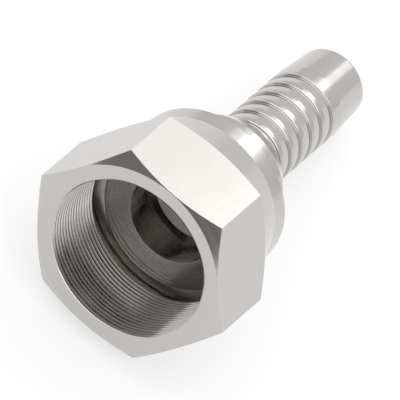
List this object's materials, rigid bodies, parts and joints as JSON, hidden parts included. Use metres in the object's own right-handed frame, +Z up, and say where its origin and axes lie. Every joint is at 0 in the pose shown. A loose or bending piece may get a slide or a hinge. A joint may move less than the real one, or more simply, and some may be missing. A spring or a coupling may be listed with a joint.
{
  "type": "hose nipple",
  "caption": "Straight hose fitting: a flat-faced nipple with a barbed hose tail, held by a swivelling hexagon nut with a female thread and a tapered collar.",
  "frame": {"origin": "on the level surface that the fitting lies on, under the middle of its box", "axes": "+X towards the hose tail, along the line where the axis meets the surface when seen from above; +Z up. The axis slopes down to the tail by about 12 degrees, because the fitting lies on one flat of the nut and the tip of its tail"},
  "size_m": [0.084, 0.0474, 0.044],
  "materials": {
    "nut_steel": "fine turned stainless steel, bright satin",
    "nipple_steel": "fine turned stainless steel, bright satin"
  },
  "bodies": {
    "nipple": {"hose_nipple": "nipple_steel"},
    "nut": {"swivel_nut": "nut_steel"}
  },
  "joints": [
    {"name": "nut_swivel", "type": "hinge", "parent": "nipple", "child": "nut", "pos_m": [-0.01034, 0, 0.01809], "axis": [0.9781, 0, -0.2083], "continuous": true}
  ]
}
